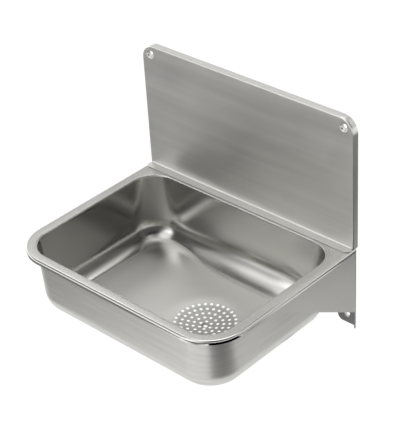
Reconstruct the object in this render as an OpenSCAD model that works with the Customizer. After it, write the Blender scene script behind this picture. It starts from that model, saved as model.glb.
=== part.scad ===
// Wall-hung utility sink, folded and drawn from stainless steel sheet.
// The origin is on the wall, at mid-width, level with the top of the rim.
// The front of the sink faces -Y, and the wall is the plane y = 0.

/* [Sheet] */
// Thickness of the bowl and splashback sheet
sheet_t = 1.2; // [0.8:0.1:2]
// Thickness of the bracket sheet
bracket_t = 2; // [1.5:0.1:3]

/* [Rim] */
// Width of the sink over the rim
rim_w = 500; // [440:5:600]
// Depth of the sink from the wall to the front of the rim
rim_d = 385; // [340:5:460]
// Radius of the two front corners of the rim
rim_front_r = 75; // [50:1:90]
// Radius of the two rear corners of the rim
rim_rear_r = 9; // [7:0.5:14]
// Height of the turned-down lip
lip_h = 8; // [6:0.5:14]
// Outside radius of the bend between rim and lip
lip_bend_r = 4; // [2.5:0.5:5]
// Height of the turned-up rear flange
upstand_h = 10; // [6:1:16]

/* [Bowl] */
// Width of the rim beside the bowl, from the lip to the bowl wall
side_margin = 22; // [18:1:36]
// Width of the rim in front of the bowl, from the lip to the bowl wall
front_margin = 20.5; // [18:0.5:40]
// Width of the rim between the splashback's ledge and the bend into the bowl
ledge_shelf = 0; // [0:1:20]
// Inside depth of the bowl
bowl_depth = 134; // [120:1:220]
// Inside radius between the walls and the floor
bowl_floor_r = 40; // [30:1:66]
// Radius of the corners of the flat floor
floor_corner_r = 22; // [2:1:40]
// Radius of the bend between rim and bowl wall
mouth_bend_r = 3; // [2.5:0.5:6]

/* [Drain] */
// Distance of the drain to the right of mid-width
drain_x = 57; // [-70:1:70]
// Distance of the drain from the wall
drain_y = 202; // [170:1:210]
// Radius of curvature of the dished drain
dish_r = 250; // [200:5:400]
// Radius of the roll from the floor into the dish
dish_roll_r = 100; // [60:5:120]
// Reach of the dished part from its centre
dish_reach = 58; // [57:1:62]
// Number of rings of holes round the centre hole
drain_rings = 5; // [3:1:5]
// Distance from one ring of holes to the next
drain_pitch = 11.2; // [10:0.1:11.4]
// Diameter of a drain hole
drain_hole_d = 6; // [4:0.5:7]
// Diameter of the centre hole, for the screw of a waste fitting
waste_screw_d = 7.5; // [6:0.5:8]
// Depth of the pressed seat round the centre hole
waste_seat_depth = 2.2; // [1:0.1:3]
// Radius of the flat of that seat
waste_seat_r = 5; // [4.5:0.1:5.5]

/* [Splashback] */
// Distance of the splashback's sides from the sides of the rim
splash_side_gap = 1; // [0:0.5:4]
// Height of the splashback above the rim
splash_h = 261.5; // [200:0.5:400]
// Depth of the splashback from the wall to its face
splash_d = 13; // [11:0.5:20]
// Radius of its two top corners
splash_corner_r = 30; // [15:1:60]
// Outside radius of its edge bends
splash_bend_r = 3; // [2:0.5:4]
// Radius of the bend between its face and its ledge
foot_bend_r = 3; // [2:0.5:5]
// Reach of the ledge in front of the face
ledge_d = 16; // [12:0.5:20]
// Radius of the ledge's two front corners
ledge_corner_r = 12; // [4:0.5:12]
// Weld gap between ledge and rim
ledge_gap = 0.4; // [0.2:0.1:1]

/* [Brackets] */
// Length of a bracket from the wall, along the rim
bracket_len = 228; // [150:1:300]
// Height of its side plate at the wall
bracket_h = 130; // [90:1:160]
// Height of the front tip of its side plate
bracket_tip = 2; // [1:0.5:10]
// Width of its wall flange
flange_w = 45; // [36:1:60]
// Distance of its screw hole above the foot of its wall flange
flange_toe = 19.5; // [14:0.5:30]
// Radius of the flange's lower inner corner
flange_corner_r = 12; // [4:1:18]

/* [Screw holes] */
// Distance of the screw holes from the sink's side
screw_inset = 22; // [20:0.5:28]
// Distance of the upper screw holes below the top of the splashback
screw_top = 18; // [16:0.5:40]
// Level of the lower screw holes, below the rim
screw_low = 155.5; // [150:0.5:160]
// Diameter of the screw holes
screw_d = 8.5; // [6:0.5:9]
// Width of the flat round an upper screw hole
screw_land = 1.75; // [0.5:0.25:2]
// Outside diameter of the pressed seats in the splashback
screw_seat_d = 18; // [14:0.5:20]
// Depth of the pressed seats in the splashback
screw_seat_depth = 4; // [2:0.5:6]
// Outside diameter of the countersinks in the brackets
bracket_sink_d = 15.5; // [11:0.5:18]
// Depth of the countersinks in the brackets
bracket_sink_depth = 1.2; // [0.4:0.1:1.2]

/* [Welds] */
// Diameter of a spot weld under the ledge
spot_d = 6; // [4:0.5:8]
// Number of spot welds under the ledge
spot_count = 9; // [3:1:12]
// Distance of the outer spot welds from the ends of the ledge
spot_inset = 29; // [16:1:60]
// Length of a stitch weld
stitch_len = 30; // [10:1:35]
// Number of stitch welds on each bracket
stitch_count = 4; // [2:1:4]
// Leg of a stitch weld
stitch_leg = 2.6; // [1.5:0.1:3]
// Distance of the outer stitches from the ends of the side plate
stitch_inset = 10; // [5:1:20]

/* [Hidden] */
$fn = 72;

steel = [0.72, 0.72, 0.70];
bracket_steel = [0.66, 0.67, 0.66];
weld_steel = [0.58, 0.58, 0.57];

// The bowl's rear wall stands clear of the ledge that lies on the rim
rear_margin = splash_d + ledge_d + ledge_shelf + mouth_bend_r;

// Plan of the rim and of the bowl's mouth, as [x0, y0, x1, y1]
rim_plan = [-rim_w / 2, -rim_d, rim_w / 2, 0];
bowl_plan = [-rim_w / 2 + side_margin, -rim_d + front_margin, rim_w / 2 - side_margin, -rear_margin];

// The bowl's upright corners round into the corners of its floor
bowl_corner_r = bowl_floor_r + floor_corner_r;

// Levels of the bowl
wall_foot_z = -(bowl_depth - bowl_floor_r);
floor_z = -bowl_depth;

// The dish is an arc of dish_r that rolls into the floor through an arc of dish_roll_r
dish_angle = asin(dish_reach / dish_r);
dish_edge = (dish_r + dish_roll_r) * sin(dish_angle);
dish_fall = (dish_r + dish_roll_r) * (1 - cos(dish_angle));
dish_centre_z = floor_z - dish_fall;
waste_seat_rim = waste_seat_r + waste_seat_depth;
waste_seat_top_z = dish_centre_z + dish_r - sqrt(dish_r * dish_r - waste_seat_rim * waste_seat_rim);

// The splashback is as wide as the rim, less its side gaps
splash_w = rim_w - 2 * splash_side_gap;

screw_x = rim_w / 2 - screw_inset;
screw_top_z = splash_h - screw_top;
flange_foot = screw_low + flange_toe;
ledge_top_z = ledge_gap + sheet_t;
ledge_front_y = -splash_d - ledge_d;
ledge_flat = ledge_d - foot_bend_r;
spot_y = ledge_front_y + ledge_flat / 2;
spot_pitch = (splash_w - 2 * spot_inset) / (spot_count - 1);
stitch_pitch = (bracket_len - rim_rear_r - stitch_len - 2 * stitch_inset) / (stitch_count - 1);
stitch_rise = min(stitch_leg, lip_h - lip_bend_r);

// How far a cutting shape reaches past what it cuts
cut = 1;

// Quarter of a flat ring, in the quadrant that the two signs name
module quarter_ring(outer, inner, sx, sy) {
    intersection() {
        difference() {
            circle(outer);
            circle(inner);
        }
        translate([sx < 0 ? -outer : 0, sy < 0 ? -outer : 0]) square(outer);
    }
}

// What is cut off a square corner to round it, in the quadrant that the two signs name
module corner_waste(radius, sx, sy) {
    difference() {
        translate([sx < 0 ? -radius - cut : 0, sy < 0 ? -radius - cut : 0]) square(radius + cut);
        circle(radius);
    }
}

// Rectangle with one radius on its two front corners and one on its two rear corners
module plate_plan(plan, front_r, rear_r) {
    difference() {
        translate([plan[0], plan[1]]) square([plan[2] - plan[0], plan[3] - plan[1]]);
        for (sx = [-1, 1]) {
            x = sx < 0 ? plan[0] : plan[2];
            translate([x - sx * front_r / 2, plan[1] + front_r / 2]) square(front_r, center = true);
            translate([x - sx * rear_r / 2, plan[3] - rear_r / 2]) square(rear_r, center = true);
        }
    }
    for (sx = [-1, 1]) {
        x = sx < 0 ? plan[0] : plan[2];
        translate([x - sx * front_r, plan[1] + front_r]) circle(front_r);
        translate([x - sx * rear_r, plan[3] - rear_r]) circle(rear_r);
    }
}

// The same plan drawn in, or out where inset is negative, on every side
function drawn_in(plan, inset) =
    [plan[0] + inset, plan[1] + inset, plan[2] - inset, plan[3] - inset];

// How much further out the underside of a sheet lies where it goes down a cone of this run and drop
function cone_under(run, drop) = sheet_t * (sqrt(run * run + drop * drop) - run) / drop;

// Profile (outwards, up) run along a straight side whose outward normal is at this angle
module straight_run(at, length, angle) {
    translate([at[0], at[1], 0]) rotate([0, 0, angle]) rotate([90, 0, 0])
        linear_extrude(length, center = true) children();
}

// Profile (outwards, up) run round a quarter circle that starts at this angle
module corner_run(centre, radius, angle) {
    translate([centre[0], centre[1], 0]) rotate([0, 0, angle])
        rotate_extrude(angle = 90) translate([radius, 0]) children();
}

// Profile run along the front, the sides and all four corners of a plan
module run_front_and_sides(plan, front_r, rear_r) {
    side_len = plan[3] - rear_r - plan[1] - front_r;
    side_mid = (plan[3] - rear_r + plan[1] + front_r) / 2;
    straight_run([(plan[0] + plan[2]) / 2, plan[1]], plan[2] - plan[0] - 2 * front_r, -90) children();
    straight_run([plan[2], side_mid], side_len, 0) children();
    straight_run([plan[0], side_mid], side_len, 180) children();
    corner_run([plan[2] - front_r, plan[1] + front_r], front_r, -90) children();
    corner_run([plan[0] + front_r, plan[1] + front_r], front_r, 180) children();
    corner_run([plan[2] - rear_r, plan[3] - rear_r], rear_r, 0) children();
    corner_run([plan[0] + rear_r, plan[3] - rear_r], rear_r, 90) children();
}

// Profile run along the rear side of a plan
module run_rear(plan, rear_r) {
    straight_run([(plan[0] + plan[2]) / 2, plan[3]], plan[2] - plan[0] - 2 * rear_r, 90) children();
}

// Bend from a flat sheet into a turned-down edge, with the edge's outside at 0
module lip_profile(bend_r, height) {
    translate([-bend_r, -bend_r]) quarter_ring(bend_r, bend_r - sheet_t, 1, 1);
    translate([-sheet_t, -height]) square([sheet_t, height - bend_r]);
}

// Bowl wall from the mouth's bend down to the floor, with the wall's inside at 0
module bowl_profile() {
    translate([mouth_bend_r, -mouth_bend_r]) quarter_ring(mouth_bend_r, mouth_bend_r - sheet_t, -1, 1);
    translate([0, wall_foot_z]) square([sheet_t, -wall_foot_z - mouth_bend_r]);
    translate([-bowl_floor_r, wall_foot_z]) quarter_ring(bowl_floor_r + sheet_t, bowl_floor_r, 1, -1);
}

// Flat rim between the lip's bend and the mouth's bend
module rim_sheet() {
    flat = drawn_in(rim_plan, lip_bend_r);
    mouth = drawn_in(bowl_plan, -mouth_bend_r);
    mouth_r = bowl_corner_r + mouth_bend_r;
    translate([0, 0, -sheet_t]) linear_extrude(sheet_t) difference() {
        union() {
            plate_plan(flat, rim_front_r - lip_bend_r, rim_rear_r - lip_bend_r);
            translate([rim_plan[0] + rim_rear_r, -rim_rear_r])
                square([rim_w - 2 * rim_rear_r, rim_rear_r]);
        }
        plate_plan(mouth, mouth_r, mouth_r);
    }
}

// Low flange that stands against the wall behind the splashback
module rear_flange() {
    translate([rim_plan[0] + rim_rear_r, -sheet_t, -sheet_t])
        cube([rim_w - 2 * rim_rear_r, sheet_t, upstand_h + sheet_t]);
}

// Dished drain and its screw seat, about the drain's own axis
module dish() {
    centre_up = dish_centre_z + dish_r;
    roll_up = floor_z - dish_roll_r;
    far = 2 * dish_r;
    seat_z = dish_centre_z - waste_seat_depth;
    under = cone_under(waste_seat_rim - waste_seat_r, waste_seat_depth);
    rotate_extrude() {
        intersection() {
            translate([0, centre_up]) difference() {
                circle(dish_r + sheet_t, $fn = 360);
                circle(dish_r, $fn = 360);
            }
            polygon([[0, centre_up], [0, centre_up - far],
                     [far * sin(dish_angle), centre_up - far * cos(dish_angle)]]);
            translate([waste_seat_rim, dish_centre_z - far / 2]) square(far);
        }
        intersection() {
            translate([dish_edge, roll_up]) difference() {
                circle(dish_roll_r, $fn = 360);
                circle(dish_roll_r - sheet_t, $fn = 360);
            }
            polygon([[dish_edge, roll_up], [dish_edge, roll_up + far],
                     [dish_edge - far * sin(dish_angle), roll_up + far * cos(dish_angle)]]);
        }
        polygon([[waste_screw_d / 2, seat_z], [waste_seat_r, seat_z],
                 [waste_seat_rim, waste_seat_top_z], [waste_seat_rim + under, waste_seat_top_z],
                 [waste_seat_rim + under, waste_seat_top_z - sheet_t],
                 [waste_seat_r + under, seat_z - sheet_t], [waste_screw_d / 2, seat_z - sheet_t]]);
    }
}

// Rings of holes, each ring with six more than the last and every other ring turned half a step
module drain_holes() {
    for (ring = [1 : drain_rings]) {
        count = 6 * ring;
        start = ring % 2 == 0 ? 180 / count : 0;
        for (i = [0 : count - 1]) {
            rotate([0, 0, start + i * 360 / count])
                translate([ring * drain_pitch, 0, dish_centre_z - sheet_t - cut])
                    cylinder(d = drain_hole_d, h = dish_fall + sheet_t + 2 * cut);
        }
    }
}

module bowl() {
    color(steel) {
        rim_sheet();
        rear_flange();
        run_front_and_sides(rim_plan, rim_front_r, rim_rear_r) lip_profile(lip_bend_r, lip_h);
        run_front_and_sides(bowl_plan, bowl_corner_r, bowl_corner_r) bowl_profile();
        run_rear(bowl_plan, bowl_corner_r) bowl_profile();
        floor_plan = drawn_in(bowl_plan, bowl_floor_r);
        translate([0, 0, floor_z - sheet_t]) linear_extrude(sheet_t) difference() {
            plate_plan(floor_plan, floor_corner_r, floor_corner_r);
            translate([drain_x, -drain_y]) circle(dish_edge);
        }
        translate([drain_x, -drain_y, 0]) difference() {
            dish();
            drain_holes();
        }
    }
}

// Pressed seat with a screw hole, whose axis is Z and whose rim is at 0
module pressed_seat() {
    seat_rim = screw_seat_d / 2;
    seat_flat = screw_d / 2 + screw_land;
    low = -screw_seat_depth;
    under = cone_under(seat_rim - seat_flat, screw_seat_depth);
    rotate_extrude() polygon([
        [screw_d / 2, low], [seat_flat, low], [seat_rim, 0], [seat_rim + under, 0],
        [seat_rim + under, -sheet_t], [seat_flat + under, low - sheet_t], [screw_d / 2, low - sheet_t]]);
}

// Splashback face and its edges, drawn flat with the face up at level 0
module splash_tray() {
    plan = [-splash_w / 2, ledge_gap, splash_w / 2, splash_h];
    side_len = plan[3] - splash_corner_r - plan[1];
    side_mid = (plan[3] - splash_corner_r + plan[1]) / 2;
    flat_w = splash_w - 2 * splash_bend_r;
    flat_foot = ledge_top_z + foot_bend_r;
    flat_r = splash_corner_r - splash_bend_r;
    for (sx = [-1, 1]) {
        straight_run([sx * splash_w / 2, side_mid], side_len, sx < 0 ? 180 : 0)
            lip_profile(splash_bend_r, splash_d);
        corner_run([sx * (splash_w / 2 - splash_corner_r), plan[3] - splash_corner_r],
                   splash_corner_r, sx < 0 ? 90 : 0)
            lip_profile(splash_bend_r, splash_d);
    }
    straight_run([0, plan[3]], splash_w - 2 * splash_corner_r, 90) lip_profile(splash_bend_r, splash_d);
    translate([0, 0, -sheet_t]) linear_extrude(sheet_t) difference() {
        union() {
            translate([-flat_w / 2, flat_foot])
                square([flat_w, splash_h - splash_corner_r - flat_foot]);
            translate([-flat_w / 2 + flat_r, splash_h - splash_corner_r])
                square([flat_w - 2 * flat_r, flat_r]);
            for (sx = [-1, 1]) {
                translate([sx * (flat_w / 2 - flat_r), splash_h - splash_corner_r]) circle(flat_r);
            }
        }
        for (sx = [-1, 1]) {
            translate([sx * screw_x, screw_top_z]) circle(screw_seat_d / 2);
        }
    }
    for (sx = [-1, 1]) {
        translate([sx * screw_x, screw_top_z, 0]) pressed_seat();
    }
}

// Bend at the foot of the face, and the ledge that lies on the rim
module splash_ledge() {
    foot_w = splash_w - 2 * splash_bend_r;
    straight_run([0, -splash_d - foot_bend_r], foot_w, 90)
        translate([0, ledge_top_z + foot_bend_r])
            quarter_ring(foot_bend_r + sheet_t, foot_bend_r, 1, -1);
    translate([0, 0, ledge_gap]) linear_extrude(sheet_t) difference() {
        translate([-splash_w / 2, ledge_front_y]) square([splash_w, ledge_flat]);
        for (sx = [-1, 1]) {
            translate([sx * (splash_w / 2 - ledge_corner_r), ledge_front_y + ledge_corner_r])
                corner_waste(ledge_corner_r, sx, -1);
        }
    }
}

module splashback() {
    color(steel) {
        translate([0, -splash_d, 0]) rotate([90, 0, 0]) splash_tray();
        splash_ledge();
    }
}

// Right-hand bracket: side plate, upright bend and wall flange
module bracket() {
    plate_x = rim_w / 2 - bracket_t;
    bend_at = [rim_w / 2 - rim_rear_r, -rim_rear_r];
    plate_foot = -lip_h - bracket_h;
    flange_inner = rim_w / 2 - flange_w;
    color(bracket_steel) difference() {
        union() {
            translate([plate_x, 0, 0]) rotate([90, 0, 90]) linear_extrude(bracket_t)
                polygon([[-rim_rear_r, -lip_h], [-bracket_len, -lip_h],
                         [-bracket_len, -lip_h - bracket_tip], [-rim_rear_r, plate_foot]]);
            translate([bend_at[0], bend_at[1], -flange_foot])
                rotate_extrude(angle = 90) translate([rim_rear_r - bracket_t, 0])
                    square([bracket_t, flange_foot - lip_h]);
            rotate([90, 0, 0]) linear_extrude(bracket_t) difference() {
                translate([flange_inner, -flange_foot])
                    square([bend_at[0] - flange_inner, flange_foot - sheet_t]);
                translate([flange_inner + flange_corner_r, -flange_foot + flange_corner_r])
                    corner_waste(flange_corner_r, -1, -1);
            }
        }
        translate([screw_x, 0, -screw_low]) rotate([90, 0, 0]) {
            translate([0, 0, -cut]) cylinder(d = screw_d, h = bracket_t + 2 * cut);
            translate([0, 0, bracket_t - bracket_sink_depth])
                cylinder(d1 = screw_d, d2 = bracket_sink_d, h = bracket_sink_depth);
        }
    }
}

module bracket_right() {
    bracket();
}

module bracket_left() {
    mirror([1, 0, 0]) bracket();
}

// Stitch welds in the corner between the lip and the right-hand side plate
module bracket_weld() {
    lip_x = rim_w / 2 - sheet_t;
    plate_x = rim_w / 2 - bracket_t;
    color(weld_steel) for (i = [0 : stitch_count - 1]) {
        translate([0, -rim_rear_r - stitch_inset - i * stitch_pitch, 0])
            rotate([90, 0, 0]) linear_extrude(stitch_len)
                polygon([[lip_x, -lip_h + stitch_rise], [lip_x, -lip_h], [plate_x, -lip_h],
                         [plate_x, -lip_h - stitch_leg],
                         [plate_x - stitch_leg * 2 / 3, -lip_h - stitch_leg / 3],
                         [plate_x - stitch_leg / 2, -lip_h + stitch_rise / 2]]);
    }
}

module bracket_weld_right() {
    bracket_weld();
}

module bracket_weld_left() {
    mirror([1, 0, 0]) bracket_weld();
}

// Spot welds between the ledge and the rim
module ledge_spot_welds() {
    color(weld_steel) for (i = [0 : spot_count - 1]) {
        translate([-splash_w / 2 + spot_inset + i * spot_pitch, spot_y, 0])
            cylinder(d = spot_d, h = ledge_gap);
    }
}

bowl();
splashback();
bracket_left();
bracket_right();
bracket_weld_left();
bracket_weld_right();
ledge_spot_welds();
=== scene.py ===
"""Looks of a wall-hung utility sink of satin stainless steel sheet.

Lengths are in metres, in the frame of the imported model: the wall is y = 0, the rim's top is z = 0,
+X is to the right and the front of the sink faces -Y.
"""

import math

import bmesh
import bpy
from mathutils import Matrix, Vector
from mathutils.geometry import delaunay_2d_cdt


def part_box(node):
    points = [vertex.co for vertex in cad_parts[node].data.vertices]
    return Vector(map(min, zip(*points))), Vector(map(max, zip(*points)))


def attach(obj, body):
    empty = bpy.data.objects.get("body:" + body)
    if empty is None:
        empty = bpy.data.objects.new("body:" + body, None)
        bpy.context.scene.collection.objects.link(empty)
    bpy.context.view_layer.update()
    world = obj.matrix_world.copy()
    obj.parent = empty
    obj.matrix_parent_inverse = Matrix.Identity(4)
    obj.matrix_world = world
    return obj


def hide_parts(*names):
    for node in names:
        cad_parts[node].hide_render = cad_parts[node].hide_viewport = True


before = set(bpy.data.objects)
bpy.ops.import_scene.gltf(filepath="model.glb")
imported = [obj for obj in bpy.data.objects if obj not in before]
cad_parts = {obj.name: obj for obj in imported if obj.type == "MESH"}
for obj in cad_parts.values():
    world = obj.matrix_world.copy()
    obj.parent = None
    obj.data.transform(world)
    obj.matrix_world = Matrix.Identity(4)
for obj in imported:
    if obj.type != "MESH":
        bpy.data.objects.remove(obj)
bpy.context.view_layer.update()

MM = 0.001

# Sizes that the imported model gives
bowl_low, bowl_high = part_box("bowl")
splash_low, splash_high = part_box("splashback")
bracket_low, bracket_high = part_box("bracket_right")

# Sheet metal sizes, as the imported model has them
SHEET = 1.2 * MM
RIM_FRONT_R = 75 * MM
RIM_REAR_R = 9 * MM
LIP_H = 8 * MM
LIP_BEND_R = 4 * MM
UPSTAND_BEND_R = 1 * MM
SIDE_MARGIN = 22 * MM
FRONT_MARGIN = 20.5 * MM
REAR_MARGIN = 32 * MM
MOUTH_BEND_R = 3 * MM
BOWL_DEPTH = 134 * MM
MOUTH_CORNER_R = 53 * MM
BOWL_FLOOR_R = 40 * MM

DRAIN_X = 57 * MM
DRAIN_Y = -202 * MM
DISH_R = 250 * MM
DISH_ROLL_R = 100 * MM
DISH_REACH = 58 * MM
DRAIN_RINGS = 5
DRAIN_PITCH = 11.2 * MM
DRAIN_HOLE_R = 3 * MM
WASTE_SCREW_R = 3.75 * MM
WASTE_SEAT_DEPTH = 2.2 * MM
WASTE_SEAT_FLAT_R = 4.8 * MM
WASTE_SEAT_RIM_R = 7.5 * MM

SPLASH_D = 13 * MM
SPLASH_CORNER_R = 30 * MM
SPLASH_BEND_R = 3 * MM
FOOT_BEND_R = 3 * MM
LEDGE_CORNER_R = 12 * MM
SCREW_INSET = 22 * MM
SCREW_TOP = 18 * MM
SCREW_R = 4.25 * MM
SEAT_FLAT_R = 5.7 * MM
SEAT_RIM_R = 9.4 * MM
SEAT_DEPTH = 4 * MM

# Forms that this script adds: the upright corners open towards the floor, the round at the rear
# swells by the drain, and the punched holes have slightly rounded edges
FLOOR_CORNER_R = 66 * MM
REAR_SWELL = 22 * MM
SWELL_FAR = 40 * MM
SWELL_NEAR = 4 * MM
SWELL_LEFT = (-170 * MM, 30 * MM)
SWELL_RIGHT = (100 * MM, 200 * MM)
PUNCH_WIDTH = 0.35 * MM
PUNCH_DROP = 0.14 * MM

# How finely the sheet is divided
ARC_STEPS = 24
SIDE_STEPS = 14
FRONT_STEPS = 20
ACROSS_STEPS = 32
BEND_STEPS = 8
UPSTAND_STEPS = 3
RIM_STEPS = 3
WALL_STEPS = 10
FILLET_STEPS = 20
HOLE_STEPS = 20
WASTE_SEAT_STEPS = 7
DISH_STEPS = 9
DISH_RING_STEPS = 96
SCREW_STEPS = 28
SEAT_STEPS = 8
SEAT_RING_STEPS = 36
LEDGE_CORNER_STEPS = 12
SPLASH_COLUMNS = 30
SPLASH_ROWS = 16

# Gaps between the rings of the mesh and the holes, the dish's edge and the screw seats
HOLE_GAP = 2.5 * MM
DISH_GAP = 3 * MM
SEAT_GAP = 3 * MM
SEAT_RING_GAP = 0.4 * MM

# How near counts as the same place
MERGE = 1e-6
ON_EDGE = 0.01 * MM
PLATE_MERGE = 1e-9
LEVEL_DIGITS = 7

FLOOR_GRAIN_TURN = 45
SHARP_ANGLE = 38

# Zones of a sheet, in the order of its materials
RIM_ZONE, LIP_ZONE, INSIDE_ZONE = range(3)


def smooth(edge0, edge1, value):
    """0 below edge0, 1 above edge1, and a smooth rise between."""
    t = min(max((value - edge0) / (edge1 - edge0), 0.0), 1.0)
    return t * t * (3 - 2 * t)


def circle(centre, radius, steps, start=0.0):
    return [(centre[0] + radius * math.cos(start + math.tau * i / steps),
             centre[1] + radius * math.sin(start + math.tau * i / steps)) for i in range(steps)]


def arc(centre, radius, start, end, steps):
    """Points from the angle start to the angle end, both in degrees."""
    angles = [math.radians(start + (end - start) * i / steps) for i in range(steps + 1)]
    return [(centre[0] + radius * math.cos(a), centre[1] + radius * math.sin(a)) for a in angles]


def line(a, b, steps):
    """The points between a and b, without the two ends."""
    return [(a[0] + (b[0] - a[0]) * i / steps, a[1] + (b[1] - a[1]) * i / steps)
            for i in range(1, steps)]


def bend(steps):
    """(sine, cosine) pairs through a bend of 90 degrees."""
    angles = [math.radians(90 * i / steps) for i in range(steps + 1)]
    return [(math.sin(a), math.cos(a)) for a in angles]


def within(outline, x, y):
    """Whether a point lies inside a closed outline."""
    inside = False
    for (ax, ay), (bx, by) in zip(outline, outline[1:] + outline[:1]):
        if (ay > y) != (by > y) and x < ax + (bx - ax) * (y - ay) / (by - ay):
            inside = not inside
    return inside


class Sheet:
    """One skin of a piece of sheet metal, to which the thickness is given at the end."""

    def __init__(self, name):
        self.name = name
        self.bm = bmesh.new()
        self.zone = 0
        self.grain = self.bm.loops.layers.uv.new("grain")

    def face(self, corners, grain):
        made = self.bm.faces.new([self.bm.verts.new(c) for c in corners])
        made.material_index = self.zone
        for loop, uv in zip(made.loops, grain):
            loop[self.grain].uv = uv

    def strip(self, rows, closed=False):
        """Quads between rows of points. The grain runs along the rows."""
        count = len(rows[0])
        spans = count if closed else count - 1
        along = [0.0]
        middle = rows[len(rows) // 2]
        for i in range(spans):
            along.append(along[-1] + (Vector(middle[(i + 1) % count]) - Vector(middle[i])).length)
        across = 0.0
        for row, next_row in zip(rows, rows[1:]):
            width = (Vector(next_row[0]) - Vector(row[0])).length
            for i in range(spans):
                j = (i + 1) % count
                self.face([row[i], row[j], next_row[j], next_row[i]],
                          [(along[i], across), (along[i + 1], across),
                           (along[i + 1], across + width), (along[i], across + width)])
            across += width

    def plate(self, loops, points, lift, keep, grain_turn=0):
        """Triangles over the part of a plane where keep(x, y) holds, put in place by lift(x, y).
        The loops are closed lines that the triangles follow. The grain runs along the plane's
        first axis, turned by some degrees."""
        turn_x, turn_y = math.cos(math.radians(grain_turn)), math.sin(math.radians(grain_turn))
        coords = []
        edges = []
        for loop in loops:
            first = len(coords)
            coords += [Vector(p) for p in loop]
            edges += [(first + i, first + (i + 1) % len(loop)) for i in range(len(loop))]
        coords += [Vector(p) for p in points]
        made = delaunay_2d_cdt(coords, edges, [], 0, PLATE_MERGE)
        places = [(p.x, p.y) for p in made[0]]
        for corners in made[2]:
            flat = [places[i] for i in corners]
            middle = (sum(p[0] for p in flat) / len(flat), sum(p[1] for p in flat) / len(flat))
            if keep(*middle):
                self.face([lift(*p) for p in flat],
                          [(x * turn_x + y * turn_y, y * turn_x - x * turn_y) for x, y in flat])

    def finish(self, thickness, facing, *materials):
        """Joins the skin, turns it to face out, and gives it its thickness behind. facing(face) is
        above zero for a face that looks outwards and below zero for one that looks inwards. The
        materials are those of the zones, then the one of the back."""
        bmesh.ops.remove_doubles(self.bm, verts=self.bm.verts, dist=MERGE)
        bmesh.ops.recalc_face_normals(self.bm, faces=self.bm.faces)
        if sum(facing(f) for f in self.bm.faces) < 0:
            bmesh.ops.reverse_faces(self.bm, faces=self.bm.faces)
        mesh = bpy.data.meshes.new(self.name)
        for material in materials:
            mesh.materials.append(material)
        self.bm.to_mesh(mesh)
        self.bm.free()
        piece = bpy.data.objects.new(self.name, mesh)
        bpy.context.scene.collection.objects.link(piece)
        solid = piece.modifiers.new("thickness", "SOLIDIFY")
        solid.thickness = thickness
        solid.offset = -1
        solid.use_even_offset = True
        solid.use_quality_normals = True
        solid.material_offset = len(materials) - 1
        settle(piece)
        return piece


def settle(piece):
    """Applies the piece's modifiers and shades it smooth, with its sheet edges sharp."""
    bpy.context.view_layer.update()
    evaluated = piece.evaluated_get(bpy.context.evaluated_depsgraph_get())
    mesh = bpy.data.meshes.new_from_object(evaluated)
    piece.modifiers.clear()
    piece.data = mesh
    mesh.name = piece.name
    mesh.shade_smooth()
    mesh.set_sharp_from_angle(angle=math.radians(SHARP_ANGLE))


# Bowl

LIP_COUNT = 4 * (ARC_STEPS + 1) + 2 * (SIDE_STEPS - 1) + FRONT_STEPS - 1

rim_plan = (bowl_low.x, bowl_low.y, bowl_high.x, bowl_high.y)
mouth_plan = (bowl_low.x + SIDE_MARGIN, bowl_low.y + FRONT_MARGIN,
              bowl_high.x - SIDE_MARGIN, bowl_high.y - REAR_MARGIN)
mouth_rear = mouth_plan[3]
floor_z = -BOWL_DEPTH
dish_angle = math.asin(DISH_REACH / DISH_R)
dish_edge = (DISH_R + DISH_ROLL_R) * math.sin(dish_angle)
dish_centre_z = floor_z - (DISH_R + DISH_ROLL_R) * (1 - math.cos(dish_angle))


def plan_loop(plan, front_r, rear_r):
    """A rectangle with round corners, from the rear right corner clockwise. plan is x0, y0, x1, y1.
    The first LIP_COUNT points are those round the sides and the front."""
    x0, y0, x1, y1 = plan
    rear_right = arc((x1 - rear_r, y1 - rear_r), rear_r, 90, 0, ARC_STEPS)
    front_right = arc((x1 - front_r, y0 + front_r), front_r, 0, -90, ARC_STEPS)
    front_left = arc((x0 + front_r, y0 + front_r), front_r, -90, -180, ARC_STEPS)
    rear_left = arc((x0 + rear_r, y1 - rear_r), rear_r, 180, 90, ARC_STEPS)
    return (rear_right + line(rear_right[-1], front_right[0], SIDE_STEPS)
            + front_right + line(front_right[-1], front_left[0], FRONT_STEPS)
            + front_left + line(front_left[-1], rear_left[0], SIDE_STEPS)
            + rear_left + line(rear_left[-1], rear_right[0], FRONT_STEPS))


def drawn_in(plan, inset):
    """The plan, made smaller by inset on every side."""
    return (plan[0] + inset, plan[1] + inset, plan[2] - inset, plan[3] - inset)


def rim_loop(inset, z):
    """The rim's outline at this level."""
    return [(x, y, z) for x, y in plan_loop(drawn_in(rim_plan, inset), RIM_FRONT_R - inset,
                                            RIM_REAR_R - inset)]


def bowl_loop(inset, z):
    """The bowl in plan at this level. Its corners get rounder towards the floor."""
    depth = min(max(-z / (BOWL_DEPTH - BOWL_FLOOR_R), 0.0), 1.0)
    radius = MOUTH_CORNER_R + (FLOOR_CORNER_R - MOUTH_CORNER_R) * depth - inset
    return [(x, y, z) for x, y in plan_loop(drawn_in(mouth_plan, inset), radius, radius)]


def floor_radius(x, y):
    """Radius between wall and floor. The drawn sheet swells it along the rear, by the drain."""
    rear = smooth(mouth_rear - SWELL_FAR, mouth_rear - SWELL_NEAR, y)
    along = smooth(*SWELL_LEFT, x) * (1 - smooth(*SWELL_RIGHT, x))
    return BOWL_FLOOR_R + REAR_SWELL * rear * along


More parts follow.
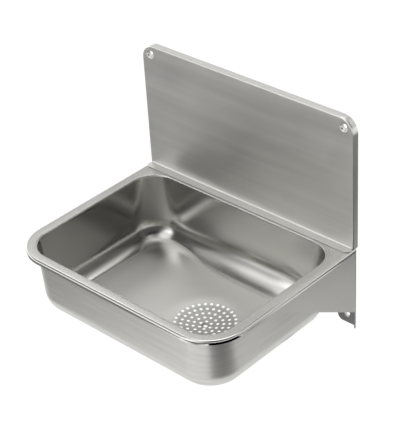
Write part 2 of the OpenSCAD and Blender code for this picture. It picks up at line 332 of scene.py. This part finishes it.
def wall_rows():
    """Rows of points from below the mouth bend down the wall and round into the floor."""
    wall_foot = -(BOWL_DEPTH - BOWL_FLOOR_R)
    outer = bowl_loop(0.0, wall_foot)
    inner = bowl_loop(BOWL_FLOOR_R, wall_foot)
    radii = [floor_radius(x, y) for x, y, z in outer]
    rows = []
    for i in range(1, WALL_STEPS + 1):
        levels = [round(-MOUTH_BEND_R + (MOUTH_BEND_R - (BOWL_DEPTH - radius)) * i / WALL_STEPS,
                        LEVEL_DIGITS) for radius in radii]
        loops = {z: bowl_loop(0.0, z) for z in set(levels)}
        rows.append([loops[z][j] for j, z in enumerate(levels)])
    for s, c in bend(FILLET_STEPS)[1:]:
        row = []
        for a, b, radius in zip(outer, inner, radii):
            share = radius * (1 - c) / BOWL_FLOOR_R
            row.append((a[0] + (b[0] - a[0]) * share, a[1] + (b[1] - a[1]) * share,
                        -(BOWL_DEPTH - radius) - radius * s))
        rows.append(row)
    return rows


def drain_holes():
    """The places of the drain holes, in rings of 6, 12, 18 and so on round the centre hole."""
    places = []
    for ring in range(1, DRAIN_RINGS + 1):
        count = 6 * ring
        start = math.pi / count if ring % 2 == 0 else 0.0
        places += circle((DRAIN_X, DRAIN_Y), ring * DRAIN_PITCH, count, start)
    return places


def dish_level(r):
    """Height of the floor at this distance from the drain's axis."""
    if r >= dish_edge:
        return floor_z
    if r >= DISH_REACH:
        return floor_z - DISH_ROLL_R + math.sqrt(DISH_ROLL_R ** 2 - (dish_edge - r) ** 2)
    level = dish_centre_z + DISH_R - math.sqrt(DISH_R ** 2 - r * r)
    return level - WASTE_SEAT_DEPTH * (1 - smooth(WASTE_SEAT_FLAT_R, WASTE_SEAT_RIM_R, r))


def bowl_floor(sheet, outline):
    """The floor, its dish and the punched holes, each with a slightly rounded edge."""
    holes = [((DRAIN_X, DRAIN_Y), WASTE_SCREW_R)] + [(p, DRAIN_HOLE_R) for p in drain_holes()]
    loops = [outline]
    points = []
    for centre, radius in holes:
        loops.append(circle(centre, radius, HOLE_STEPS))
        points += circle(centre, radius + PUNCH_WIDTH, HOLE_STEPS)
    for centre, radius in holes[1:]:
        points += circle(centre, radius + 2 * PUNCH_WIDTH, HOLE_STEPS)
    # Rings round the waste seat, inside the first ring of holes
    for i in range(WASTE_SEAT_STEPS + 1):
        r = WASTE_SEAT_FLAT_R + (WASTE_SEAT_RIM_R - WASTE_SEAT_FLAT_R) * i / WASTE_SEAT_STEPS
        if r < DRAIN_PITCH - DRAIN_HOLE_R - 2 * PUNCH_WIDTH:
            points += circle((DRAIN_X, DRAIN_Y), r, 2 * HOLE_STEPS)
    # Rings from the outer holes to just outside the dish
    first_ring = DRAIN_RINGS * DRAIN_PITCH + DRAIN_HOLE_R + HOLE_GAP
    last_ring = dish_edge + DISH_GAP
    for i in range(DISH_STEPS + 1):
        r = first_ring + (last_ring - first_ring) * i / DISH_STEPS
        half_step = math.pi / DISH_RING_STEPS * (i % 2)
        points += circle((DRAIN_X, DRAIN_Y), r, DISH_RING_STEPS, half_step)

    def lift(x, y):
        z = dish_level(math.hypot(x - DRAIN_X, y - DRAIN_Y))
        for centre, radius in holes:
            if abs(math.hypot(x - centre[0], y - centre[1]) - radius) < ON_EDGE:
                z -= PUNCH_DROP
        return (x, y, z)

    def keep(x, y):
        return all(math.hypot(x - c[0], y - c[1]) > r for c, r in holes) and within(outline, x, y)

    sheet.plate(loops, points, lift, keep, grain_turn=FLOOR_GRAIN_TURN)


def build_bowl():
    sheet = Sheet("bowl_pressing")
    # Lip, from its lower edge up and over the bend
    lip = [(0.0, -LIP_H), (0.0, -(LIP_H + LIP_BEND_R) / 2)]
    lip += [(LIP_BEND_R * (1 - c), -LIP_BEND_R * (1 - s)) for s, c in bend(BEND_STEPS)]
    sheet.zone = LIP_ZONE
    sheet.strip([rim_loop(inset, z)[:LIP_COUNT] for inset, z in lip])
    # Rim
    sheet.zone = RIM_ZONE
    mouth_edge = bowl_loop(-MOUTH_BEND_R, 0.0)
    rim_edge = rim_loop(LIP_BEND_R, 0.0)
    rows = [[tuple(Vector(a).lerp(Vector(b), i / RIM_STEPS)) for a, b in zip(rim_edge, mouth_edge)]
            for i in range(RIM_STEPS + 1)]
    sheet.strip(rows, closed=True)
    # Rear flange
    rear = rim_edge[LIP_COUNT - 1:] + rim_edge[:1]
    flange_y = -SHEET
    rows = [rear]
    for s, c in bend(UPSTAND_STEPS):
        rows.append([(x, flange_y - UPSTAND_BEND_R * (1 - s), UPSTAND_BEND_R * (1 - c))
                     for x, y, z in rear])
    rows.append([(x, flange_y, bowl_high.z) for x, y, z in rear])
    sheet.strip(rows)
    # Mouth bend
    mouth = [(-MOUTH_BEND_R * (1 - s), -MOUTH_BEND_R * (1 - c)) for s, c in bend(BEND_STEPS)]
    rows = [bowl_loop(inset, z) for inset, z in mouth]
    sheet.strip(rows, closed=True)
    # Wall and the round to the floor
    sheet.zone = INSIDE_ZONE
    rows = rows[-1:] + wall_rows()
    sheet.strip(rows, closed=True)
    bowl_floor(sheet, [p[:2] for p in rows[-1]])

    def facing(face):
        on_rim = abs(face.calc_center_median().z) < MERGE
        return face.normal.z * face.calc_area() if on_rim else 0.0

    return sheet.finish(SHEET, facing, rim_steel, lip_steel, inside_steel, outside_steel)


# Splashback

splash_foot = splash_low.z + SHEET + FOOT_BEND_R
seat_places = [(s * (bowl_high.x - SCREW_INSET), splash_high.z - SCREW_TOP) for s in (-1, 1)]


def tray_path(inset):
    """Outline of the splashback from its lower left corner over the top to its lower right one."""
    half = splash_high.x - inset
    top = splash_high.z - inset
    r = SPLASH_CORNER_R - inset
    left = arc((-half + r, top - r), r, 180, 90, ARC_STEPS)
    right = arc((half - r, top - r), r, 90, 0, ARC_STEPS)
    low_left = [(-half, splash_low.z), (-half, splash_foot)]
    low_right = [(half, splash_foot), (half, splash_low.z)]
    return (low_left + line(low_left[1], left[0], SIDE_STEPS) + left
            + line(left[-1], right[0], ACROSS_STEPS) + right
            + line(right[-1], low_right[0], SIDE_STEPS) + low_right)


def from_seat(x, z):
    """Distance from the axis of the nearest screw seat."""
    return min(math.hypot(x - px, z - pz) for px, pz in seat_places)


def seat_depth(x, z):
    """How deep the pressed screw seats are at this place on the face."""
    return SEAT_DEPTH * (1 - smooth(SEAT_FLAT_R, SEAT_RIM_R, from_seat(x, z)))


def in_corners(x, past, half, radius):
    """Whether a point lies inside an edge that is 2 * half wide and has round corners. past is how
    far the point lies past the centres of the corners."""
    return math.hypot(max(abs(x) - (half - radius), 0.0), max(past, 0.0)) < radius


def build_splashback():
    sheet = Sheet("splashback_sheet")
    face_y = -SPLASH_D
    # Sides and top, from the wall to the face
    edge = [(0.0, 0.0), (0.0, (face_y + SPLASH_BEND_R) / 2)]
    edge += [(SPLASH_BEND_R * (1 - c), face_y + SPLASH_BEND_R * (1 - s))
             for s, c in bend(BEND_STEPS)]
    sheet.strip([[(x, y, z) for x, z in tray_path(inset)] for inset, y in edge])
    # Face, with its pressed seats
    path = tray_path(SPLASH_BEND_R)[1:-1]
    foot_line = line(path[-1], path[0], ACROSS_STEPS)
    loops = [path + foot_line] + [circle(p, SCREW_R, SCREW_STEPS) for p in seat_places]
    points = []
    for place in seat_places:
        for i in range(1, SEAT_STEPS + 2):
            r = SCREW_R + (SEAT_RIM_R + SEAT_RING_GAP - SCREW_R) * i / SEAT_STEPS
            points += circle(place, r, SEAT_RING_STEPS)
    for i in range(1, SPLASH_COLUMNS):
        for j in range(1, SPLASH_ROWS):
            x = splash_low.x + (splash_high.x - splash_low.x) * i / SPLASH_COLUMNS
            z = splash_foot + (splash_high.z - splash_foot) * j / SPLASH_ROWS
            if from_seat(x, z) > SEAT_RIM_R + SEAT_GAP:
                points.append((x, z))

    def on_face(x, z):
        r = SPLASH_CORNER_R - SPLASH_BEND_R
        past = z - (splash_high.z - SPLASH_BEND_R - r)
        return from_seat(x, z) > SCREW_R and in_corners(x, past, splash_high.x - SPLASH_BEND_R, r)

    sheet.plate(loops, points, lambda x, z: (x, face_y + seat_depth(x, z), z), on_face)
    # Foot bend
    foot = [path[0]] + foot_line[::-1] + [path[-1]]
    sheet.strip([[(x, face_y - FOOT_BEND_R * (1 - c), splash_foot - FOOT_BEND_R * s)
                  for x, z in foot] for s, c in bend(BEND_STEPS)])
    # Ledge on the rim
    ledge_z = splash_low.z + SHEET
    back_y = face_y - FOOT_BEND_R
    half = splash_high.x
    r = LEDGE_CORNER_R
    left = arc((-half + r, splash_low.y + r), r, 180, 270, LEDGE_CORNER_STEPS)
    right = arc((half - r, splash_low.y + r), r, 270, 360, LEDGE_CORNER_STEPS)
    outline = ([(-half, back_y)] + left + line(left[-1], right[0], ACROSS_STEPS) + right
               + [(half, back_y)] + [(x, back_y) for x, z in foot[::-1]])
    sheet.plate([outline], [], lambda x, y: (x, y, ledge_z),
                lambda x, y: in_corners(x, splash_low.y + r - y, half, r))

    def facing(face):
        on_upper_half = face.calc_center_median().z > splash_high.z / 2
        return -face.normal.y * face.calc_area() if on_upper_half else 0.0

    return sheet.finish(SHEET, facing, splash_steel)


# Materials

def node(tree, kind, inputs=(), links=(), **settings):
    """A shader node with some settings, input values and links into it."""
    made = tree.nodes.new(kind)
    for key, value in settings.items():
        setattr(made, key, value)
    for key, value in dict(inputs).items():
        made.inputs[key].default_value = value
    for key, source in dict(links).items():
        tree.links.new(source, made.inputs[key])
    return made


def ramp(tree, source, low, high, at_low, at_high, interpolation="SMOOTHSTEP"):
    """A change from at_low to at_high while the source goes from low to high."""
    return node(tree, "ShaderNodeMapRange",
                {"From Min": low, "From Max": high, "To Min": at_low, "To Max": at_high},
                {"Value": source}, interpolation_type=interpolation).outputs["Result"]


def maths(tree, operation, *terms):
    """A Math node on outputs of other nodes and plain numbers."""
    values = {i: term for i, term in enumerate(terms) if isinstance(term, (int, float))}
    links = {i: term for i, term in enumerate(terms) if i not in values}
    return node(tree, "ShaderNodeMath", values, links, operation=operation).outputs["Value"]


def scaled(tree, colour, factor):
    """A colour output times a number output."""
    return node(tree, "ShaderNodeVectorMath", links={0: colour, "Scale": factor},
                operation="SCALE").outputs["Vector"]


def noise(tree, source, scale, detail, roughness):
    return node(tree, "ShaderNodeTexNoise",
                {"Scale": scale, "Detail": detail, "Roughness": roughness},
                {"Vector": source}).outputs["Fac"]


def stretched(tree, source, scale):
    return node(tree, "ShaderNodeMapping", {"Scale": scale}, {"Vector": source}).outputs["Vector"]


def emptied(owner):
    """The node tree of a material or a world, without nodes."""
    owner.use_nodes = True
    owner.node_tree.nodes.clear()
    return owner.node_tree


# Noises: scale, detail, roughness
LINE_NOISE = (1.0, 3.0, 0.6)
CLOUD_NOISE = (14.0, 3.0, 0.55)
BAND_NOISE = (1.0, 2.0, 0.5)

GRAIN_TURN = 0.25
CLOUD_CHANGE = 0.05
BAND_LOW, BAND_HIGH = 0.25, 0.75
BUMP_DISTANCE = 0.5 * MM

# The bowl's satin finish starts a little above its floor, and higher at the rear left. Along the
# rear it is finer. Its colour is painted lighter than the polished walls, a painted light, and
# the punched dish is painted darker, a painted shade.
SATIN_START = 0.5 * MM
SATIN_EDGE = 0.4 * MM
SATIN_RISE = 4.5 * MM
SATIN_RISE_Y = (-120 * MM, -80 * MM)
SATIN_RISE_X = (-150 * MM, -30 * MM)
SATIN_ROUGHER = 0.33
SATIN_FINE_Y = (-135 * MM, -85 * MM)
SATIN_FINE_SHARE = 0.3
# Painted light: how much lighter the satin floor's colour is made
SATIN_PAINTED_LIGHT = 0.1
# Painted shade: the punched dish's colour is made darker, fading out past the dish
DISH_SHADE_FADE = (0.8 * DISH_REACH, 1.1 * DISH_REACH)
DISH_PAINTED_SHADE = 0.7


def satin_share(tree, place):
    """1 on the bowl's satin floor, and 0 on its polished walls."""
    at_rear = ramp(tree, place["Y"], *SATIN_RISE_Y, 0.0, 1.0)
    at_left = ramp(tree, place["X"], *SATIN_RISE_X, SATIN_RISE, 0.0)
    start = maths(tree, "MULTIPLY_ADD", at_rear, at_left, floor_z + SATIN_START)
    above = maths(tree, "SUBTRACT", place["Z"], start)
    return ramp(tree, above, SATIN_EDGE, -SATIN_EDGE, 0.0, 1.0)


def painted_floor_light_and_shade(tree, place_vector, share):
    """Painted light and shade: the satin floor's colour made lighter than the walls, and the punched
    dish's colour made darker.
    """
    from_drain = node(tree, "ShaderNodeVectorMath", {1: (DRAIN_X, DRAIN_Y, floor_z)},
                      {0: place_vector}, operation="DISTANCE").outputs["Value"]
    dish = ramp(tree, from_drain, *DISH_SHADE_FADE, DISH_PAINTED_SHADE, 1.0)
    return maths(tree, "MULTIPLY", maths(tree, "MULTIPLY_ADD", share, SATIN_PAINTED_LIGHT, 1.0), dish)


def steel(name, colour, roughness, fine, object_scale=None, grain_scale=(14, 1500),
          anisotropy=0.5, bump=0.02, contrast=0.07, satin_floor_and_painted_tone=False, streaks=None):
    """Satin steel. fine is how far the brush lines change the roughness, and contrast how far they
    change the colour. The lines follow the sheet's grain, or where object_scale is given, the
    object's axes. satin_floor_and_painted_tone is for the bowl's inside, whose walls are polished;
    it makes its floor satin, paints light on that floor and paints shade on the punched dish.
    streaks is (frequencies of wide soft bands along and across the grain, how far they change the
    colour)."""
    material = bpy.data.materials.new(name)
    tree = emptied(material)
    shader = node(tree, "ShaderNodeBsdfPrincipled",
                  {"Metallic": 1.0, "Anisotropic": anisotropy, "Anisotropic Rotation": GRAIN_TURN})
    node(tree, "ShaderNodeOutputMaterial", links={"Surface": shader.outputs["BSDF"]})
    place_vector = node(tree, "ShaderNodeTexCoord").outputs["Object"]
    if object_scale:
        source = place_vector
        line_scale = object_scale
    else:
        source = node(tree, "ShaderNodeUVMap", uv_map="grain").outputs["UV"]
        tangent = node(tree, "ShaderNodeTangent", direction_type="UV_MAP", uv_map="grain")
        tree.links.new(tangent.outputs["Tangent"], shader.inputs["Tangent"])
        line_scale = (*grain_scale, 1)
    lines = noise(tree, stretched(tree, source, line_scale), *LINE_NOISE)
    clouds = noise(tree, place_vector, *CLOUD_NOISE)
    # Roughness from the lines and the clouds
    rough = maths(tree, "ADD",
                  ramp(tree, lines, 0.0, 1.0, roughness - fine, roughness + fine, "LINEAR"),
                  ramp(tree, clouds, 0.0, 1.0, -CLOUD_CHANGE, CLOUD_CHANGE, "LINEAR"))
    # Colour a little darker in the lines
    tint = node(tree, "ShaderNodeMix", {"A": (*[c * (1 - contrast) for c in colour], 1),
                                        "B": (*[min(c * (1 + contrast), 1) for c in colour], 1)},
                {"Factor": lines}, data_type="RGBA")
    shade = tint.outputs["Result"]
    if satin_floor_and_painted_tone:
        place = node(tree, "ShaderNodeSeparateXYZ", links={"Vector": place_vector}).outputs
        share = satin_share(tree, place)
        rougher = ramp(tree, place["Y"], *SATIN_FINE_Y, SATIN_ROUGHER,
                       SATIN_FINE_SHARE * SATIN_ROUGHER)
        rough = maths(tree, "MULTIPLY_ADD", share, rougher, rough)
        # Painted light on the satin floor and painted shade on the punched dish, put into the colour
        shade = scaled(tree, shade, painted_floor_light_and_shade(tree, place_vector, share))
    if streaks:
        frequencies, change = streaks
        bands = noise(tree, stretched(tree, source, frequencies), *BAND_NOISE)
        band_tone = ramp(tree, bands, BAND_LOW, BAND_HIGH, 1 - change, 1 + change, "LINEAR")
        shade = scaled(tree, shade, band_tone)
    relief = node(tree, "ShaderNodeBump", {"Strength": bump, "Distance": BUMP_DISTANCE},
                  {"Height": lines})
    tree.links.new(rough, shader.inputs["Roughness"])
    tree.links.new(shade, shader.inputs["Base Color"])
    tree.links.new(relief.outputs["Normal"], shader.inputs["Normal"])
    return material


STEEL = (0.62, 0.615, 0.59)
RIM_STEEL = (0.55, 0.545, 0.525)
# Painted light: the splashback's steel is a copy of the bowl's steel, painted lighter to stand in
# for the light it catches
SPLASH_STEEL_PAINTED_LIGHTER = (0.69, 0.685, 0.66)
WELD_STEEL = (0.42, 0.41, 0.39)

rim_steel = steel("bowl_rim_steel", RIM_STEEL, 0.27, 0.05, anisotropy=0.2, grain_scale=(12, 420),
                  contrast=0.3)
lip_steel = steel("bowl_lip_steel", STEEL, 0.10, 0.02, anisotropy=0.0, bump=0.0)
inside_steel = steel("bowl_inside_steel", STEEL, 0.2, 0.02, anisotropy=0.0, bump=0.0,
                     satin_floor_and_painted_tone=True)
outside_steel = steel("bowl_outside_steel", STEEL, 0.38, 0.05, anisotropy=0.0,
                      streaks=((9, 130, 1), 0.08))
# The splashback's colour is painted lighter, a painted light
splash_steel = steel("splashback_steel", SPLASH_STEEL_PAINTED_LIGHTER, 0.36, 0.06, anisotropy=0.25,
                     streaks=((2.2, 38, 1), 0.09))
bracket_steel = steel("bracket_steel", STEEL, 0.32, 0.06, object_scale=(900, 12, 900),
                      anisotropy=0.0)
weld_steel = steel("weld_steel", WELD_STEEL, 0.5, 0.1, object_scale=(200, 200, 200))


def dress(piece, material):
    piece.data.materials.clear()
    piece.data.materials.append(material)


bowl = build_bowl()
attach(bowl, "root")
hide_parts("bowl")

splashback = build_splashback()
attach(splashback, "root")
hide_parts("splashback")

for name in ("bracket_left", "bracket_right"):
    dress(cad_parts[name], bracket_steel)
for name in ("bracket_weld_left", "bracket_weld_right", "ledge_spot_welds"):
    dress(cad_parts[name], weld_steel)

# Studio

FLOOR_Z = -0.9
FLOOR_SIZE = 30
FLOOR_GLOW = 1.1
FLOOR_GLOW_SHARE = 0.75


def floor_white():
    """White that takes light and shadow, and mostly glows where it is looked at or mirrored."""
    material = bpy.data.materials.new("floor_white")
    tree = emptied(material)
    matt = node(tree, "ShaderNodeBsdfDiffuse", {"Color": (1, 1, 1, 1)})
    light = node(tree, "ShaderNodeEmission", {"Color": (1, 1, 1, 1), "Strength": FLOOR_GLOW})
    rays = node(tree, "ShaderNodeLightPath").outputs
    seen = maths(tree, "MAXIMUM", rays["Is Camera Ray"], rays["Is Glossy Ray"])
    seen = maths(tree, "MAXIMUM", seen, rays["Is Transmission Ray"])
    mix = node(tree, "ShaderNodeMixShader",
               links={"Fac": maths(tree, "MULTIPLY", seen, FLOOR_GLOW_SHARE),
                      1: matt.outputs["BSDF"], 2: light.outputs["Emission"]})
    node(tree, "ShaderNodeOutputMaterial", links={"Surface": mix.outputs["Shader"]})
    return material


def card_material(name, strength):
    material = bpy.data.materials.new(name)
    tree = emptied(material)
    light = node(tree, "ShaderNodeEmission", {"Color": (1, 1, 1, 1), "Strength": strength})
    node(tree, "ShaderNodeOutputMaterial", links={"Surface": light.outputs["Emission"]})
    return material


def direction(azimuth, elevation):
    """Unit vector. Azimuth 0 is the front, -Y, and 90 is +X."""
    a, e = math.radians(azimuth), math.radians(elevation)
    return Vector((math.sin(a) * math.cos(e), -math.cos(a) * math.cos(e), math.sin(e)))


def stage_plane(name, centre, size, normal, material):
    """A flat stage piece that faces along normal."""
    bpy.ops.mesh.primitive_plane_add(size=1)
    plane = bpy.context.object
    plane.name = name
    plane.scale = (size[0], size[1], 1)
    plane.rotation_mode = "QUATERNION"
    plane.rotation_quaternion = Vector(normal).to_track_quat("Z", "Y")
    plane.location = centre
    plane.data.materials.append(material)
    return plane


def card(name, azimuth, elevation, distance, size, strength, around=(0, 0, 0)):
    """A card beside the set that only reflections see. It faces the point around."""
    back = direction(azimuth, elevation)
    plane = stage_plane(name, Vector(around) + back * distance, size, -back,
                        card_material(name, strength))
    plane.visible_camera = False
    plane.visible_diffuse = False
    plane.visible_shadow = False


stage_plane("floor", (0, 0, FLOOR_Z), (FLOOR_SIZE, FLOOR_SIZE), (0, 0, 1), floor_white())

# Cards below the sink: azimuth, elevation, distance, size, strength. The flange card is a small
# one, close to the foot of the right bracket's wall flange.
FLANGE_FOOT = (bracket_high.x - 25 * MM, 0, bracket_low.z + 10 * MM)
card("dark_card", 72, -33, 1.3, (2.6, 1.1), 0.0)
card("grey_card", -52, -30, 1.6, (1.5, 1.6), 0.29)
card("front_grey_card", 2, -32, 1.6, (1.5, 1.2), 0.2)
card("rear_grey_card", 145, -31, 1.35, (1.7, 1.0), 0.13)
card("rear_dark_card", 190, -33, 1.3, (1.1, 0.9), 0.03)
card("flange_card", -45, -36, 0.1, (0.12, 0.07), 0.12, around=FLANGE_FOOT)
card("bright_card", 6, -33, 1.3, (1.25, 0.24), 1.35)
card("bright_strip", 128, -34, 1.3, (1.3, 0.10), 1.1)

# Round soft boxes in the sky: azimuth, elevation, outer and inner angle, strength. They stand at
# the front left, high at the rear, at the rear left and at the rear right. The gap is a dark one.
KEY_LIGHT = (-22, 56, 32, 18, 1.1)
BACK_LIGHT = (-150, 68, 20, 10, 1.9)
STRIP_LIGHT = (-125, 43, 9, 3, 1.9)
RIGHT_LIGHT = (140, 38, 26, 12, 0.9)
LEFT_GAP = (-52, 36, 24, 12, 0.6)

world = bpy.data.worlds.new("studio")
bpy.context.scene.world = world
sky = emptied(world)
sky_place = node(sky, "ShaderNodeTexCoord").outputs["Generated"]
sky_axes = node(sky, "ShaderNodeSeparateXYZ", links={"Vector": sky_place}).outputs
sky_x, sky_y, sky_z = (sky_axes[axis] for axis in "XYZ")


def sky_spot(azimuth, elevation, outer, inner, strength):
    """A round soft box, from its outer to its inner angle in degrees."""
    towards = node(sky, "ShaderNodeVectorMath", {1: direction(azimuth, elevation)},
                   {0: sky_place}, operation="DOT_PRODUCT").outputs["Value"]
    return ramp(sky, towards, math.cos(math.radians(outer)), math.cos(math.radians(inner)),
                0.0, strength)


# The room. Its walls are bright on the left and dim on the right and at the rear. The gap above
# them is dark, and lighter at the rear. Above it is a soft ceiling, dim at the front, and round
# the horizon a light band. Each ramp gives the two ends on its axis, and the levels there.
walls = ramp(sky, sky_x, 0.45, -0.15, 0.1, 1.0)
below_gap = ramp(sky, sky_z, 0.70, 0.76, 1.0, 0.1)
rear_gap = ramp(sky, sky_y, 0.36, 0.5, 0.0, 0.4)
walls = maths(sky, "MULTIPLY", walls, maths(sky, "MAXIMUM", below_gap, rear_gap))
walls = maths(sky, "MULTIPLY", walls, ramp(sky, sky_y, 0.2, 0.5, 1.0, 0.6))
walls = maths(sky, "SUBTRACT", walls, sky_spot(*LEFT_GAP))
ceiling = ramp(sky, sky_z, 0.84, 0.90, 0.0, 0.75)
ceiling = maths(sky, "MULTIPLY", ceiling, ramp(sky, sky_y, -0.3, 0.2, 0.25, 1.1))
horizon = ramp(sky, sky_z, 0.34, 0.14, 0.0, 1.2)
sky_level = maths(sky, "ADD", maths(sky, "MAXIMUM", walls, ceiling), horizon)
for soft_box in (KEY_LIGHT, BACK_LIGHT, STRIP_LIGHT, RIGHT_LIGHT):
    sky_level = maths(sky, "ADD", sky_level, sky_spot(*soft_box))
sky_rays = node(sky, "ShaderNodeLightPath").outputs
sky_level = maths(sky, "MAXIMUM", sky_level, sky_rays["Is Camera Ray"])
sky_light = node(sky, "ShaderNodeBackground", {"Color": (1, 1, 1, 1)}, {"Strength": sky_level})
node(sky, "ShaderNodeOutputWorld", links={"Surface": sky_light.outputs["Background"]})

# Camera, from a perspective fit to the photograph

CAMERA_AZIMUTH = 44.573
CAMERA_ELEVATION = 32.968
CAMERA_ROLL = -3.724
CAMERA_AT = (1.5758, -1.7392, 1.4950)
CAMERA_LENS = 123.88
CAMERA_SENSOR = 36
CAMERA_NEAR = 0.05
CAMERA_FAR = 60

camera_data = bpy.data.cameras.new("camera")
camera_data.lens = CAMERA_LENS
camera_data.sensor_width = CAMERA_SENSOR
camera_data.clip_start = CAMERA_NEAR
camera_data.clip_end = CAMERA_FAR
camera = bpy.data.objects.new("camera", camera_data)
bpy.context.scene.collection.objects.link(camera)
bpy.context.scene.camera = camera
camera.rotation_mode = "QUATERNION"
to_camera = direction(CAMERA_AZIMUTH, CAMERA_ELEVATION)
upright = to_camera.to_track_quat("Z", "Y")
roll = Matrix.Rotation(math.radians(CAMERA_ROLL), 3, to_camera).to_quaternion()
camera.rotation_quaternion = roll @ upright
camera.location = CAMERA_AT

bpy.context.scene.view_settings.view_transform = "Standard"
